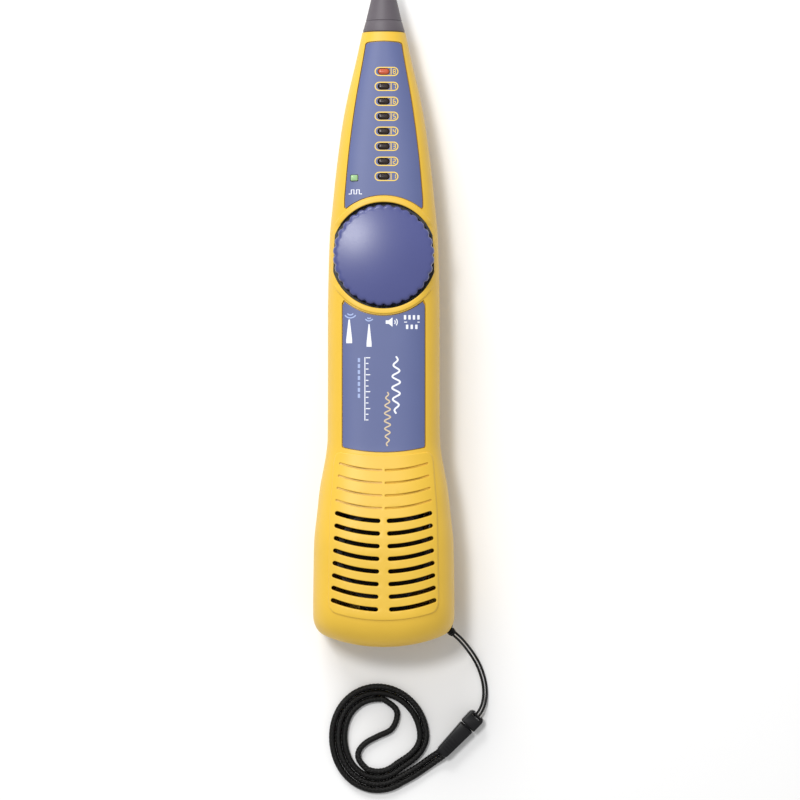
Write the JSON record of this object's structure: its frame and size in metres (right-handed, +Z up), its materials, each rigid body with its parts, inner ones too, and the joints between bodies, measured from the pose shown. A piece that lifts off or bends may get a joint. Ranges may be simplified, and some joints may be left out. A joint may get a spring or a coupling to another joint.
{
  "type": "tone probe",
  "caption": "Handheld cable tone probe with a tapered nose, turning mode dial, signal lights, slotted speaker face, sliding battery door and a wrist lanyard on a clasp.",
  "frame": {"origin": "on the surface that the probe lies on, under the middle of its length and width, the lanyard left out", "axes": "+Y along the probe towards its tip, +Z up out of its face, +X to the right when its face is looked at with the tip away from the viewer"},
  "size_m": [0.0597, 0.2819, 0.0334],
  "materials": {
    "case_yellow": "satin moulded plastic",
    "tip_grey": "fine matt moulded plastic",
    "label_blue": "matt printed film",
    "dial_blue": "satin moulded plastic",
    "light_red": "clear tinted lens",
    "light_dark": "unlit tinted lens",
    "light_green": "tinted lens",
    "plastic_black": "matt moulded plastic",
    "clasp_black": "polished moulded plastic",
    "cord_black": "braided polyester",
    "plastic_cream": "natural moulded plastic",
    "board_green": "solder-masked board",
    "steel": "plated steel",
    "contact_gold": "plated spring metal",
    "ferrite": "sintered ferrite",
    "foam": "closed-cell foam",
    "cone_paper": "pressed paper cone",
    "wire_red": "wire insulation",
    "wire_black": "wire insulation",
    "battery_skin": "printed battery sleeve"
  },
  "bodies": {
    "probe": {"front_case": "case_yellow", "rear_case": "case_yellow", "probe_tip": "tip_grey", "pickup_antenna": "ferrite", "upper_label": "label_blue", "lower_label": "label_blue", "signal_led_1": "light_red", "signal_led_2": "light_dark", "signal_led_3": "light_dark", "signal_led_4": "light_dark", "signal_led_5": "light_dark", "signal_led_6": "light_dark", "signal_led_7": "light_dark", "signal_led_8": "light_dark", "sync_led": "light_green", "detent_spring": "steel", "main_board": "board_green", "processor_chip": "plastic_black", "amplifier_chip": "plastic_black", "crystal_can": "steel", "speaker_frame": "steel", "speaker_magnet": "ferrite", "speaker_cone": "cone_paper", "speaker_gasket": "foam", "speaker_lead_a": "wire_black", "speaker_lead_b": "wire_black", "battery": "battery_skin", "battery_post_plus": "steel", "battery_post_minus": "steel", "battery_snap": "plastic_black", "battery_lead_red": "wire_red", "battery_lead_black": "wire_black", "rj45_jack": "plastic_black", "jack_contacts": "contact_gold", "jack_board": "board_green", "jack_ribbon": "plastic_cream", "case_screw_1": "steel", "case_screw_2": "steel", "case_screw_3": "steel", "case_screw_4": "steel", "case_screw_5": "steel", "case_screw_6": "steel", "lanyard_pin": "steel", "string_hitch": "cord_black", "string_strand_a": "cord_black", "string_strand_b": "cord_black", "clasp_yoke": "clasp_black"},
    "dial": {"mode_dial": "dial_blue", "contact_rotor": "plastic_cream", "rotor_wiper": "contact_gold", "dial_screw": "steel"},
    "door": {"battery_door": "case_yellow", "battery_pad": "foam"},
    "wrist_strap": {"clasp_sleeve": "clasp_black", "wrist_cord_lead": "cord_black", "wrist_cord_coil": "cord_black", "wrist_cord_bight": "cord_black"}
  },
  "joints": [
    {"name": "dial_turn", "type": "hinge", "parent": "probe", "child": "dial", "pos_m": [0, 0.017, 0.0235], "axis": [0, 0, 1], "range_deg": [0, 72]},
    {"name": "battery_door_slide", "type": "slide", "parent": "probe", "child": "door", "axis": [0, -1, 0], "range_m": [0, 0.012]},
    {"name": "clasp_release", "type": "slide", "parent": "probe", "child": "wrist_strap", "axis": [-0.6882, -0.7255, 0], "range_m": [0, 0.012]}
  ]
}
